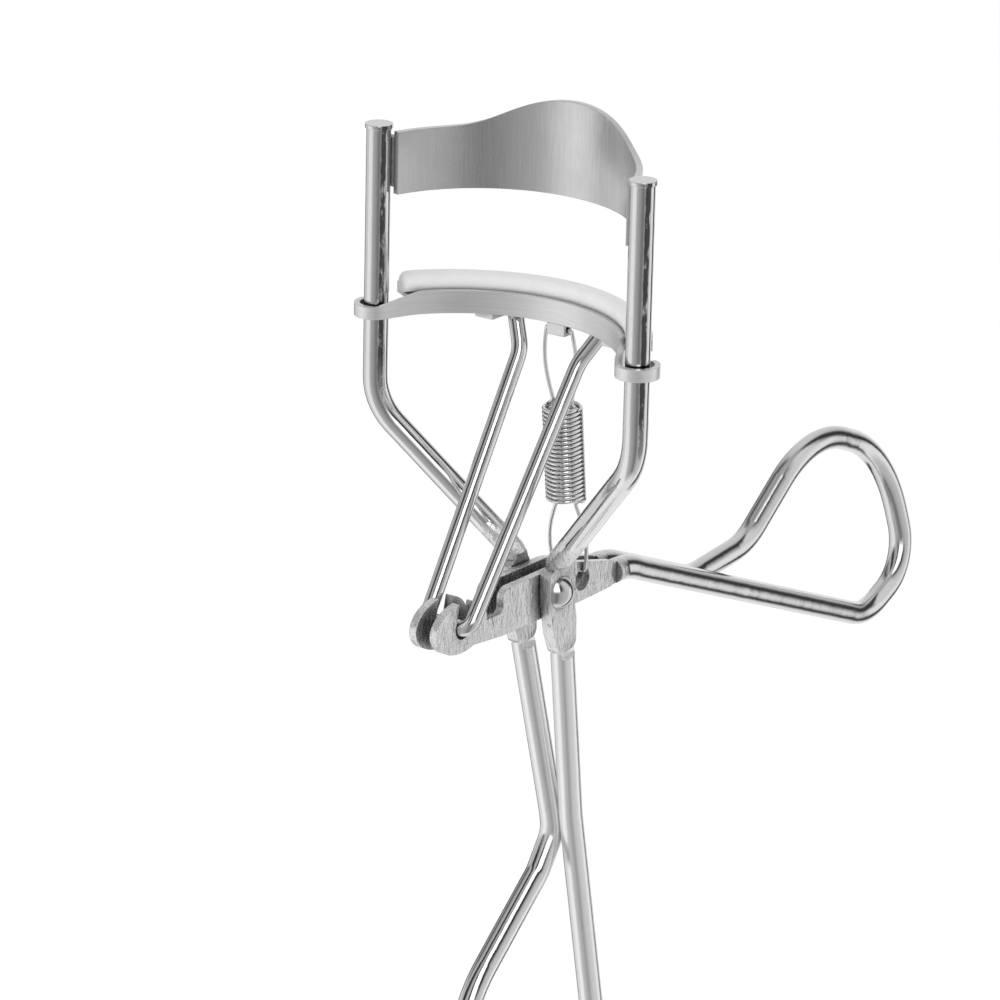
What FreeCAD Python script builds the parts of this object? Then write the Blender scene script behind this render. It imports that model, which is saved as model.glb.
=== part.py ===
import FreeCAD, Part
import Sketcher
import math
import os

from FreeCAD import Placement, Rotation, Vector

# Eyelash curler: a bent wire frame with a fixed handle, and a lever that closes a padded clamp.
# Millimetres.  +Z runs up the two posts, +Y is away from the face, +X is to the right as the face
# sees it.  The origin is on the rivet that the two handles turn on, midway between them.

DOC = FreeCAD.newDocument("eyelash_curler")

X_AXIS = Vector(1, 0, 0)
Y_AXIS = Vector(0, 1, 0)
Z_AXIS = Vector(0, 0, 1)

# Driving dimensions: alias, value, what it measures.
DIMENSIONS = [
    ("wire_diameter", 2.6, "wire of the frame and of the lever"),
    ("post_spacing", 33.0, "between the centre lines of the two posts"),
    ("post_setback", 6.6, "posts stand this far in front of the rivet"),
    ("post_top", 48.3, "height of the post tops above the rivet"),
    ("post_cap_diameter", 2.9, "flared end of each post"),
    ("post_cap_height", 0.45, "flared end of each post"),
    ("shoulder_height", 18.4, "height of the corner where a post turns in"),
    ("shoulder_radius", 7.0, "bend of the wire at that corner"),
    ("knee_height", 3.0, "height of the corner above the rivet"),
    ("knee_radius", 3.0, "bend of the wire at that corner"),
    ("coin_thickness", 1.4, "flattened wire of the frame at the rivet"),
    ("coin_width", 4.1, "flattened wire of the frame at the rivet"),
    ("coin_tip_width", 3.0, "each end of the flat, where it meets the round wire"),
    ("coin_corner_radius", 1.0, "corners of the flat, seen from the side"),
    ("coin_below", 7.0, "how far the flat runs down from the rivet"),
    ("frame_gap", 3.7, "between the two flats of the frame"),
    ("coin_above", 2.9, "how far the flat runs up from the rivet"),
    ("coin_blend", 3.0, "taper at each end of the flat"),
    ("die_margin", 0.5, "the dies that press the flat reach this far past it"),
    ("frame_tilt", 11.5, "lean of the fixed handle, in degrees"),
    ("handle_merge", 27.5, "from the rivet to where the two wires meet"),
    ("wire_pair_gap", 0.04, "between the two wires of a handle"),
    ("fixed_loop_length", 67.0, "from the rivet to the end of the front loop's straight side"),
    ("fixed_loop_width", 20.2, "across the front loop, between wire centres"),
    ("lever_loop_length", 65.2, "from the rivet to the end of the rear loop's straight side"),
    ("lever_loop_width", 18.9, "across the rear loop, between wire centres"),
    ("loop_rise", 60.0, "slope of the near end of a loop, in degrees"),
    ("loop_tip_out", 6.6, "tip of a loop past that last corner, along the handle"),
    ("loop_tip_up", 7.0, "tip of a loop from its straight side"),
    ("loop_tip_radius", 6.5, "bends of the wire at the tip of a loop"),
    ("loop_crown_radius", 12.5, "bends of the wire at the outer side of a loop"),
    ("fixed_neck", 30.2, "from the rivet to where the front loop opens"),
    ("fixed_flare", 33.6, "from the rivet to the second bend of the front loop"),
    ("fixed_flare_out", 3.4, "that bend, from the straight side"),
    ("fixed_neck_radius", 3.0, "bends of the wire where the front loop opens"),
    ("lever_neck", 31.0, "from the rivet to where the rear loop opens"),
    ("lever_flare", 40.5, "from the rivet to the second bend of the rear loop"),
    ("lever_flare_out", 4.9, "that bend, from the straight side"),
    ("lever_neck_radius", 8.0, "bends of the wire where the rear loop opens"),
    ("plate_thickness", 0.7, "sheet of the fixed plate"),
    ("plate_bottom", 41.0, "height of the lower edge of the fixed plate"),
    ("plate_end_height", 6.6, "height of the fixed plate beside the posts"),
    ("plate_hump_reach", 10.4, "where the upper edge starts to rise, from the middle"),
    ("plate_hump_slope", 26.9, "slope of that rise, in degrees"),
    ("plate_hump_radius", 15.0, "arc over the top of that rise"),
    ("plate_valley_radius", 9.8, "arc at the foot of that rise"),
    ("plate_span", 149.0, "turn of the plate from end to end, in degrees"),
    ("plate_bulge", 11.3, "how far the plate bows back from the posts"),
    ("weld_radius", 0.7, "bead between the plate and a post"),
    ("weld_inset", 0.45, "middle of that bead from the faces that it joins"),
    ("weld_margin", 0.7, "plate left free above and below the bead"),
    ("joint_gap", 0.03, "left between pieces that are joined by a weld"),
    ("strap_thickness", 0.6, "sheet of the clamp bar"),
    ("strap_bulge", 8.7, "how far the clamp bar bows back from the posts"),
    ("strap_bottom", 28.1, "height of the lower edge of the clamp bar"),
    ("strap_height", 2.5, "front wall of the clamp bar"),
    ("ring_bottom", 27.9, "height of the lower edge of the guide rings"),
    ("ring_height", 1.3, "height of the guide rings"),
    ("ring_gap", 0.42, "between a post and its guide ring"),
    ("ring_end", 75.0, "where a guide ring stops behind its post, in degrees from +X"),
    ("slope_start", 12.8, "where the clamp bar slopes down to its rings, from the middle"),
    ("slope_end", 15.4, "where that slope ends, from the middle"),
    ("channel_width", 3.4, "across the channel that holds the pad"),
    ("floor_bottom", 29.7, "height of the underside of the channel floor"),
    ("floor_thickness", 0.5, "sheet of the channel floor"),
    ("channel_span", 117.0, "turn of the channel from end to end, in degrees"),
    ("rear_wall_height", 1.2, "rear wall of the channel above the underside of the floor"),
    ("pad_clearance", 0.08, "between the pad and the walls of the channel"),
    ("pad_top", 32.3, "height of the crown of the pad"),
    ("pad_span", 119.0, "turn of the pad from end to end, in degrees"),
    ("pad_crown_radius", 0.95, "rounding of the upper edges of the pad"),
    ("pushrod_diameter", 1.7, "wire that lifts the clamp bar"),
    ("pushrod_bend", 1.2, "bend of that wire at its corners"),
    ("pushrod_hang", 0.1, "between that wire and the floor of the channel"),
    ("pushrod_top_depth", 3.1, "upper ends of that wire, behind the rivet"),
    ("pushrod_waist_height", 24.8, "where each leg turns straight, above the rivet"),
    ("pushrod_waist_depth", 1.3, "where each leg turns straight, behind the rivet"),
    ("pushrod_waist_radius", 4.0, "bend of that wire where each leg turns straight"),
    ("pushrod_side_gap", 0.12, "between a leg of that wire and an ear"),
    ("pushrod_shoulder", 5.9, "upper corner of each leg, from the middle"),
    ("pushrod_waist", 3.7, "where each leg turns straight, from the middle"),
    ("pushrod_end", 9.0, "tips of that wire, from the middle"),
    ("lug_inner", 6.9, "inner side of a pin lug, from the middle"),
    ("lug_width", 2.2, "width of each lug under the clamp bar"),
    ("lug_wall", 0.35, "metal around the hole of a lug"),
    ("lug_clearance", 0.08, "between a pin and its lug"),
    ("cheek_thickness", 0.9, "flattened wire of the lever"),
    ("cheek_front", 8.2, "front end of a cheek, ahead of the rivet"),
    ("cheek_rear", 12.0, "rear end of a cheek, behind the rivet"),
    ("cheek_top", 2.2, "upper edge of a cheek above the rivet"),
    ("cheek_bottom", 2.8, "lower edge of a cheek below the rivet"),
    ("cheek_belly_back", 6.0, "where the lower edge turns up, behind the rivet"),
    ("cheek_crest_back", 3.0, "where the upper edge turns down, behind the rivet"),
    ("cheek_soft_radius", 6.0, "those two gentle corners"),
    ("cheek_corner_radius", 0.6, "the sharper corners of a cheek"),
    ("cheek_tail_radius", 1.15, "rear corners of a cheek"),
    ("neck_rise", 0.6, "lower edge of a neck above the lower edge of its cheek"),
    ("ear_reach", 15.4, "from the rivet to the slot in an ear"),
    ("ear_length", 8.6, "ear along the lever"),
    ("ear_height", 5.4, "ear across the lever"),
    ("slot_width", 2.35, "slot in an ear for the pushrod"),
    ("slot_back", 0.235, "slot behind the middle of the pushrod, which rests on its front side"),
    ("slot_drop", 0.06, "round end of the slot below the middle of the pushrod"),
    ("slot_lean", 12.0, "slope of that slot from upright, in degrees"),
    ("neck_height", 1.9, "lever between a cheek and its ear"),
    ("lever_drop", 21.6, "slope of the moving handle at rest, in degrees"),
    ("lever_knee", 14.4, "where the lever turns down, behind the rivet"),
    ("lever_knee_drop", 1.3, "that corner, below the rivet"),
    ("lever_knee_radius", 9.0, "bend of the wire at that corner"),
    ("press_end_radius", 1.7, "rounded end of the flat on each wire of the lever"),
    ("ear_offset", 0.1, "middle of an ear behind its slot"),
    ("hook_hole_diameter", 2.5, "hole for the lower hook of the spring"),
    ("hook_hole_back", 5.8, "that hole, behind the rivet"),
    ("hook_hole_drop", 0.4, "that hole, below the rivet"),
    ("rivet_diameter", 1.9, "shank of the rivet"),
    ("rivet_head_diameter", 3.6, "domed heads of the rivet"),
    ("rivet_head_height", 1.2, "domed heads of the rivet"),
    ("rivet_gap", 0.02, "between the shank and the holes in the frame"),
    ("lever_gap", 0.05, "between the shank and the holes in the lever"),
    ("spring_wire", 0.42, "wire of the return spring"),
    ("coil_diameter", 3.9, "mean diameter of the coil"),
    ("coil_turns", 22, "turns in the coil"),
    ("coil_pitch", 0.48, "rise of one turn"),
    ("coil_offset", 8.6, "from the upper eye to the top of the coil"),
    ("spring_eye_depth", 2.9, "upper eye of the spring, behind the rivet"),
    ("spring_eye_height", 27.5, "upper eye of the spring, above the rivet"),
    ("spring_eye_radius", 0.35, "hole in the spring lug"),
    ("upper_hook_width", 3.3, "upper hook of the spring, between wire centres"),
    ("lower_hook_width", 4.2, "lower hook of the spring, outside both cheeks, between wire centres"),
    ("hook_bend", 0.35, "bends of those hooks"),
    ("hook_gap", 0.05, "between a hook and the edge of its hole"),
]


def make_sheet():
    """Puts the driving dimensions in a spreadsheet, one aliased cell each."""
    sheet = DOC.addObject("Spreadsheet::Sheet", "Sizes")
    for row, (alias, value, meaning) in enumerate(DIMENSIONS, start=1):
        sheet.set(f"A{row}", meaning)
        sheet.set(f"B{row}", str(value))
        sheet.setAlias(f"B{row}", alias)
    DOC.recompute()
    return sheet


SHEET = make_sheet()


def size(alias):
    """The value of one driving dimension."""
    return float(getattr(SHEET, alias))


def bind(thing, **formulas):
    """Ties properties to the sheet; a name may use __ in place of a dot."""
    for name, formula in formulas.items():
        thing.setExpression(name.replace("__", "."), formula)
    return thing


HALF_SPACING = size("post_spacing") / 2
WIRE_RADIUS = size("wire_diameter") / 2
PAIR_HALF = (size("wire_diameter") + size("wire_pair_gap")) / 2
FLAT_MIDDLE = (size("frame_gap") + size("coin_thickness")) / 2
PIN_HEIGHT = size("floor_bottom") - size("pushrod_hang") - size("pushrod_diameter") / 2
PIN = Vector(0, size("pushrod_top_depth"), PIN_HEIGHT)
CROSSBAR = Vector(0, -size("ear_reach"), 0)
SLOT_END = CROSSBAR + Vector(0, size("slot_back"), -size("slot_drop"))
SPRING_EYE = Vector(0, size("spring_eye_depth"), size("spring_eye_height"))
HOOK_HOLE = Vector(0, size("hook_hole_back"), -size("hook_hole_drop"))


# --------------------------------------------------------------------------- outlines and wires


def corner_arc(before, corner, after, radius):
    """The start, middle and end of the arc that rounds one corner."""
    inward = (before - corner).normalize()
    outward = (after - corner).normalize()
    half_angle = inward.getAngle(outward) / 2
    setback = radius / math.tan(half_angle)
    start = corner + inward * setback
    end = corner + outward * setback
    bisector = (inward + outward).normalize()
    middle = corner + bisector * (radius / math.sin(half_angle) - radius)
    return start, middle, end


def bent_path(start, corners, end):
    """Straight lines from start to end, with each (corner, radius) between them rounded."""
    points = [start] + [corner for corner, _ in corners] + [end]
    edges = []
    position = start
    for index, (corner, radius) in enumerate(corners):
        first, middle, last = corner_arc(points[index], corner, points[index + 2], radius)
        edges.append(Part.makeLine(position, first))
        edges.append(Part.Arc(first, middle, last).toShape())
        position = last
    edges.append(Part.makeLine(position, end))
    return Part.Wire(edges)


def rounded_face(corners):
    """A flat face whose outline goes through (corner, radius) pairs, each corner rounded."""
    count = len(corners)
    points = [corner for corner, _ in corners]
    arcs = []
    for index, (corner, radius) in enumerate(corners):
        arcs.append(corner_arc(points[index - 1], corner, points[(index + 1) % count], radius))
    edges = []
    for index, (first, middle, last) in enumerate(arcs):
        edges.append(Part.Arc(first, middle, last).toShape())
        edges.append(Part.makeLine(last, arcs[(index + 1) % count][0]))
    return Part.Face(Part.Wire(edges))


def rod(name, path, diameter_formula):
    """A round wire of one thickness that follows a path."""
    spine = DOC.addObject("Part::Feature", name + "_centre_line")
    spine.Shape = path
    section = DOC.addObject("Part::Circle", name + "_section")
    bind(section, Radius=diameter_formula + " / 2")
    first = path.OrderedEdges[0]
    section.Placement = Placement(first.valueAt(first.FirstParameter),
                                  Rotation(Z_AXIS, first.tangentAt(first.FirstParameter)))
    sweep = DOC.addObject("Part::Sweep", name + "_rod")
    sweep.Sections = [section]
    sweep.Spine = (spine, [f"Edge{n + 1}" for n in range(len(path.Edges))])
    sweep.Solid = True
    sweep.Frenet = False
    return sweep


def prism(name, face, direction, length_formula):
    """A face drawn out both ways, by half of the length each way."""
    outline = DOC.addObject("Part::Feature", name + "_outline")
    outline.Shape = face
    solid = DOC.addObject("Part::Extrusion", name)
    solid.Base = outline
    solid.DirMode = "Custom"
    solid.Dir = direction
    solid.Solid = True
    solid.Symmetric = True
    bind(solid, LengthFwd=length_formula)
    return solid


def cut(name, base, tool):
    """Base without tool."""
    result = DOC.addObject("Part::Cut", name)
    result.Base = base
    result.Tool = tool
    return result


def fuse(name, pieces, refine=True):
    """All the pieces as one solid, with its coplanar faces joined if refine is set."""
    result = DOC.addObject("Part::MultiFuse", name)
    result.Shapes = pieces
    result.Refine = refine
    return result


def common(name, base, tool):
    """What base and tool share."""
    result = DOC.addObject("Part::Common", name)
    result.Base = base
    result.Tool = tool
    return result


def mirrored(name, source):
    """The same piece on the other side of the plane between the posts."""
    result = DOC.addObject("Part::Mirroring", name)
    result.Source = source
    result.Normal = X_AXIS
    return result


def cylinder_along_x(name, diameter_formula, length_formula, middle):
    """A cylinder along X with its middle at a point."""
    result = DOC.addObject("Part::Cylinder", name)
    bind(result, Radius=f"({diameter_formula}) / 2", Height=length_formula)
    result.Placement = Placement(middle, Rotation(Z_AXIS, X_AXIS))
    bind(result, Placement__Base__x=f"{middle.x} - ({length_formula}) / 2")
    return result


# ------------------------------------------------------------------------------ handles and loops


class Handle:
    """Places points of a handle by its length from the rivet, and outwards from its straight side."""

    def __init__(self, along, outward, origin):
        self.along = along
        self.outward = outward
        self.origin = origin

    def at(self, side, length, out=0.0):
        """A point on the handle, at the given distance to the side."""
        return self.origin + X_AXIS * side + self.along * length + self.outward * out


def loop_corners(handle, which):
    """The bends of the fixed or the lever loop, from the end of its straight side to its neck."""
    length, width = size(which + "_loop_length"), size(which + "_loop_width")
    neck, neck_radius = size(which + "_neck"), size(which + "_neck_radius")
    flare, flare_out = size(which + "_flare"), size(which + "_flare_out")
    tip = length + size("loop_tip_out")
    rise = math.radians(size("loop_rise"))
    crown_end = tip - (width - size("loop_tip_up")) / math.tan(rise)
    crown_start = flare + (width - flare_out) / math.tan(rise)
    return [
        (handle.at(PAIR_HALF, length), size("loop_tip_radius")),
        (handle.at(PAIR_HALF, tip, size("loop_tip_up")), size("loop_tip_radius")),
        (handle.at(-PAIR_HALF, crown_end, width), size("loop_crown_radius")),
        (handle.at(-PAIR_HALF, crown_start, width), size("loop_crown_radius")),
        (handle.at(-PAIR_HALF, flare, flare_out), neck_radius),
        (handle.at(-PAIR_HALF, neck), neck_radius),
    ]


def fixed_handle():
    """The handle of the frame: it leans back a little and its loop opens to the front."""
    tilt = math.radians(size("frame_tilt"))
    along = Vector(0, math.sin(tilt), -math.cos(tilt))
    outward = Vector(0, -math.cos(tilt), -math.sin(tilt))
    return Handle(along, outward, Vector(0, 0, 0))


def moving_handle():
    """The handle of the lever: it slopes down to the back and its loop opens upwards."""
    drop = math.radians(size("lever_drop"))
    along = Vector(0, math.cos(drop), -math.sin(drop))
    outward = Vector(0, math.sin(drop), math.cos(drop))
    knee = Vector(0, size("lever_knee"), -size("lever_knee_drop"))
    return Handle(along, outward, outward * knee.dot(outward))


# ------------------------------------------------------------------------------------- the frame


def frame_path():
    """The centre line of the frame, from the right post top to the left post top."""
    handle = fixed_handle()
    knee_radius = size("knee_radius")

    def upper_corners(side):
        return [
            (Vector(side * HALF_SPACING, -size("post_setback"), size("shoulder_height")),
             size("shoulder_radius")),
            (Vector(side * FLAT_MIDDLE, 0, size("knee_height")), knee_radius),
            (Vector(side * FLAT_MIDDLE, 0, 0), knee_radius),
            (handle.at(side * FLAT_MIDDLE, size("coin_below")), knee_radius),
            (handle.at(side * PAIR_HALF, size("handle_merge")), knee_radius),
        ]

    def post_top(side):
        return Vector(side * HALF_SPACING, -size("post_setback"), size("post_top"))

    corners = upper_corners(1) + loop_corners(handle, "fixed") + upper_corners(-1)[::-1]
    return bent_path(post_top(1), corners, post_top(-1))


def coin_face(overhang):
    """The side view of the flat at the rivet, tapering to the wire at both ends."""
    handle = fixed_handle()
    blend = size("coin_blend")
    narrow = size("coin_tip_width") / 2 + overhang
    wide = size("coin_width") / 2 + overhang
    radius = size("coin_corner_radius")
    top = size("coin_above") + overhang
    below = size("coin_below") + overhang
    stations = [(-top, narrow), (blend - top, wide), (below - blend, wide), (below, narrow)]
    one_side = [(handle.at(0, length, out), radius) for length, out in stations]
    other_side = [(handle.at(0, length, -out), radius) for length, out in stations[::-1]]
    return rounded_face(one_side + other_side)


def make_frame_wire():
    """The bent wire, pressed flat where the rivet goes through, with a hole in each flat."""
    wire = rod("frame", frame_path(), "Sizes.wire_diameter")
    margin = size("die_margin")
    flats = []
    dies = []
    for side, word in ((1, "right"), (-1, "left")):
        flat = prism(f"frame_{word}_flat", coin_face(0), X_AXIS, "Sizes.coin_thickness")
        bind(flat, Placement__Base__x=f"{side} * (Sizes.frame_gap + Sizes.coin_thickness) / 2")
        flats.append(flat)
        inner = prism(f"frame_{word}_inner_die", coin_face(margin), X_AXIS, "Sizes.coin_thickness")
        bind(inner, Placement__Base__x=f"{side} * (Sizes.frame_gap - Sizes.coin_thickness) / 2")
        outer = prism(f"frame_{word}_outer_die", coin_face(margin), X_AXIS, "Sizes.coin_thickness")
        bind(outer, Placement__Base__x=f"{side} * (Sizes.frame_gap + 3 * Sizes.coin_thickness) / 2")
        dies += [inner, outer]
    pressed = cut("frame_pressed", wire, fuse("frame_dies", dies))
    caps = []
    for side, word in ((1, "right"), (-1, "left")):
        cap = DOC.addObject("Part::Cylinder", f"post_{word}_cap")
        bind(cap, Radius="Sizes.post_cap_diameter / 2", Height="Sizes.post_cap_height",
             Placement__Base__x=f"{side} * Sizes.post_spacing / 2",
             Placement__Base__y="-Sizes.post_setback",
             Placement__Base__z="Sizes.post_top - Sizes.post_cap_height")
        caps.append(cap)
    body = fuse("frame_body", [pressed] + flats + caps)
    hole = cylinder_along_x("frame_rivet_hole", "Sizes.rivet_diameter + 2 * Sizes.rivet_gap",
                            "4 * Sizes.frame_gap", Vector(0, 0, 0))
    return cut("frame_wire", body, hole)


# ---------------------------------------------------------------- curved sheets across the posts


def bow_radius(bulge, reach):
    """Radius of an arc that bows back by bulge from the posts and ends reach from their centres."""
    return (HALF_SPACING ** 2 + bulge ** 2 - reach ** 2) / (2 * (bulge + reach))


PLATE_REACH = size("plate_thickness") + WIRE_RADIUS + size("joint_gap")
PLATE_RADIUS = bow_radius(size("plate_bulge"), PLATE_REACH)
PLATE_CENTRE = size("plate_bulge") - size("post_setback") - PLATE_RADIUS

RING_RADIUS = WIRE_RADIUS + size("ring_gap") + size("strap_thickness") / 2
STRAP_RADIUS = bow_radius(size("strap_bulge") + size("strap_thickness") / 2, RING_RADIUS)
STRAP_CENTRE = (size("strap_bulge") + size("strap_thickness") / 2 - size("post_setback")
                - STRAP_RADIUS)
CHANNEL_FRONT = STRAP_RADIUS - size("strap_thickness") / 2


def add_derived_sizes():
    """Adds the radii and centres of the curved sheets to the sheet, below the driving dimensions."""
    derived = [
        ("plate_radius", PLATE_RADIUS, "front face of the fixed plate"),
        ("plate_centre", -PLATE_CENTRE, "centre of that arc, in front of the rivet"),
        ("strap_centre", -STRAP_CENTRE, "centre of the clamp bar's arc, in front of the rivet"),
        ("channel_front", CHANNEL_FRONT, "front face of the clamp bar"),
    ]
    for row, (alias, value, meaning) in enumerate(derived, start=len(DIMENSIONS) + 1):
        SHEET.set(f"A{row}", meaning)
        SHEET.set(f"B{row}", repr(value))
        SHEET.setAlias(f"B{row}", alias)
    DOC.recompute()


add_derived_sizes()


def origin_plane(body, role):
    """One of the origin planes of a body."""
    return next(plane for plane in body.Origin.OriginFeatures if plane.Role == role)


def sector_sketch(body, name, centre, inner, outer, span, height):
    """A level sketch of a band between two arcs about one centre in front of the rivet."""
    sketch = body.newObject("Sketcher::SketchObject", name)
    sketch.AttachmentSupport = [(origin_plane(body, "XY_Plane"), "")]
    sketch.MapMode = "FlatFace"
    bind(sketch, AttachmentOffset__Base__z=height)
    near, far = size("post_spacing") / 3, size("post_spacing") / 2
    middle = Vector(0, -near, 0)
    start, end = math.radians(45), math.radians(135)

    def on_arc(radius, angle):
        return middle + Vector(math.cos(angle), math.sin(angle), 0) * radius

    inner_arc, outer_arc, right, left = range(4)
    for radius in (near, far):
        sketch.addGeometry(Part.ArcOfCircle(Part.Circle(middle, Z_AXIS, radius), start, end), False)
    for angle in (start, end):
        line = Part.LineSegment(on_arc(near, angle), on_arc(far, angle))
        sketch.addGeometry(line, False)
    relate = sketch.addConstraint
    for line, point in ((right, 1), (left, 2)):
        relate(Sketcher.Constraint("Coincident", inner_arc, point, line, 1))
        relate(Sketcher.Constraint("Coincident", outer_arc, point, line, 2))
        relate(Sketcher.Constraint("PointOnObject", inner_arc, 3, line))
    relate(Sketcher.Constraint("Coincident", inner_arc, 3, outer_arc, 3))
    relate(Sketcher.Constraint("PointOnObject", inner_arc, 3, -2))
    relate(Sketcher.Constraint("Horizontal", inner_arc, 1, inner_arc, 2))
    for label, constraint, formula in (
        ("centre", Sketcher.Constraint("DistanceY", inner_arc, 3, -1, 1, near), centre),
        ("inner", Sketcher.Constraint("Radius", inner_arc, near), inner),
        ("outer", Sketcher.Constraint("Radius", outer_arc, far), outer),
        ("span", Sketcher.Constraint("Angle", inner_arc, end - start), span),
    ):
        index = relate(constraint)
        sketch.renameConstraint(index, label)
        sketch.setExpression("Constraints." + label, formula)
    return sketch


def pad_up(body, name, sketch, length):
    """Raises a level sketch by a length."""
    pad = body.newObject("PartDesign::Pad", name)
    pad.Profile = sketch
    bind(pad, Length=length)
    return pad


def make_top_plate():
    """The fixed sheet that bows back between the posts, with its upper edge raised in the middle."""
    body = DOC.addObject("PartDesign::Body", "plate_band")
    sketch = sector_sketch(body, "plate_plan", "Sizes.plate_centre", "Sizes.plate_radius",
                           "Sizes.plate_radius + Sizes.plate_thickness",
                           "Sizes.plate_span * 1 deg", "Sizes.plate_bottom")
    pad_up(body, "plate_pad", sketch,
           "Sizes.plate_end_height + Sizes.plate_hump_reach * tan(Sizes.plate_hump_slope * 1 deg)")

    end_top = size("plate_bottom") + size("plate_end_height")
    peak = end_top + size("plate_hump_reach") * math.tan(math.radians(size("plate_hump_slope")))
    lowest = size("plate_bottom") - size("plate_end_height")
    small = size("plate_thickness")
    corners = [
        (Vector(-HALF_SPACING, 0, lowest), small),
        (Vector(-HALF_SPACING, 0, end_top), small),
        (Vector(-size("plate_hump_reach"), 0, end_top), size("plate_valley_radius")),
        (Vector(0, 0, peak), size("plate_hump_radius")),
        (Vector(size("plate_hump_reach"), 0, end_top), size("plate_valley_radius")),
        (Vector(HALF_SPACING, 0, end_top), small),
        (Vector(HALF_SPACING, 0, lowest), small),
    ]
    front = prism("plate_front", rounded_face(corners), Y_AXIS, "2 * Sizes.post_spacing")
    return common("top_plate", body, front)


def make_plate_weld(word, side):
    """The bead in the groove between the plate and the post on one side."""
    inset = size("weld_inset")
    to_post = PLATE_RADIUS + PLATE_REACH
    to_bead = PLATE_RADIUS + size("plate_thickness") + inset
    post_to_bead = WIRE_RADIUS + inset
    post_angle = math.asin((-size("post_setback") - PLATE_CENTRE) / to_post)
    turn = math.acos((to_post ** 2 + to_bead ** 2 - post_to_bead ** 2) / (2 * to_post * to_bead))
    bead_x = to_bead * math.cos(post_angle + turn)
    bead_y = PLATE_CENTRE + to_bead * math.sin(post_angle + turn)
    bead = DOC.addObject("Part::Cylinder", f"{word}_weld_bead")
    bind(bead, Radius="Sizes.weld_radius",
         Height="Sizes.plate_end_height - 2 * Sizes.weld_margin",
         Placement__Base__z="Sizes.plate_bottom + Sizes.weld_margin")
    bead.Placement.Base = Vector(side * bead_x, bead_y, bead.Placement.Base.z)
    post_room = DOC.addObject("Part::Cylinder", f"{word}_weld_post_room")
    bind(post_room, Radius="Sizes.wire_diameter / 2 + Sizes.joint_gap", Height="Sizes.post_top",
         Placement__Base__x=f"{side} * Sizes.post_spacing / 2",
         Placement__Base__y="-Sizes.post_setback")
    plate_room = DOC.addObject("Part::Cylinder", f"{word}_weld_plate_room")
    bind(plate_room, Radius="Sizes.plate_radius + Sizes.plate_thickness + Sizes.joint_gap",
         Height="Sizes.post_top", Placement__Base__y="-Sizes.plate_centre")
    return cut(f"{word}_plate_weld", bead, fuse(f"{word}_weld_room", [post_room, plate_room]))


def make_left_plate_weld():
    """The bead on the left."""
    return make_plate_weld("left", -1)


def make_right_plate_weld():
    """The bead on the right."""
    return make_plate_weld("right", 1)


# ----------------------------------------------------------------------------------- the clamp


def circle_edge(centre, radius, start, end):
    """An arc about a vertical axis, from one angle to a larger one, in degrees."""
    return Part.makeCircle(radius, centre, Z_AXIS, start, end)


def strap_half_face():
    """The level outline of the right half of the strap, from the middle to the end of its ring."""
    half = size("strap_thickness") / 2
    bow = Vector(0, STRAP_CENTRE, 0)
    post = Vector(HALF_SPACING, -size("post_setback"), 0)
    meet = math.degrees(math.atan2(post.y - bow.y, post.x - bow.x))
    ring_start = 180 + meet
    ring_end = 360 + size("ring_end")
    edges = [
        circle_edge(bow, STRAP_RADIUS - half, meet, 90),
        circle_edge(bow, STRAP_RADIUS + half, meet, 90),
        circle_edge(post, RING_RADIUS + half, ring_start, ring_end),
        circle_edge(post, RING_RADIUS - half, ring_start, ring_end),
    ]
    edges.append(Part.makeLine(bow + Y_AXIS * (STRAP_RADIUS - half),
                               bow + Y_AXIS * (STRAP_RADIUS + half)))
    outward = Rotation(Z_AXIS, size("ring_end")).multVec(X_AXIS)
    edges.append(Part.makeLine(post + outward * (RING_RADIUS - half),
                               post + outward * (RING_RADIUS + half)))
    return Part.Face(Part.Wire(Part.__sortEdges__(edges)))


def strap_front_face():
    """The front view of the right half: a level bar that slopes down to a lower ring."""
    top = size("strap_bottom") + size("strap_height")
    ring_top = size("ring_bottom") + size("ring_height")
    fold = size("ring_height") / 2
    small = size("strap_thickness") / 4
    past_ring = HALF_SPACING + 2 * RING_RADIUS
    return rounded_face([
        (Vector(-fold, 0, size("strap_bottom")), small),
        (Vector(size("slope_start"), 0, size("strap_bottom")), fold),
        (Vector(size("slope_end"), 0, size("ring_bottom")), fold),
        (Vector(past_ring, 0, size("ring_bottom")), small),
        (Vector(past_ring, 0, ring_top), small),
        (Vector(size("slope_end"), 0, ring_top), fold),
        (Vector(size("slope_start"), 0, top), fold),
        (Vector(-fold, 0, top), small),
    ])


def make_channel():
    """The floor and the rear wall of the channel that holds the pad."""
    body = DOC.addObject("PartDesign::Body", "channel")
    outer = "Sizes.channel_front + Sizes.channel_width"
    span = "Sizes.channel_span * 1 deg"
    floor = sector_sketch(body, "floor_plan", "Sizes.strap_centre",
                          "Sizes.channel_front + Sizes.strap_thickness / 2", outer, span,
                          "Sizes.floor_bottom")
    pad_up(body, "floor_pad", floor, "Sizes.floor_thickness")
    wall = sector_sketch(body, "rear_wall_plan", "Sizes.strap_centre",
                         outer + " - Sizes.strap_thickness", outer, span, "Sizes.floor_bottom")
    pad_up(body, "rear_wall_pad", wall, "Sizes.rear_wall_height")
    return body


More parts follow.
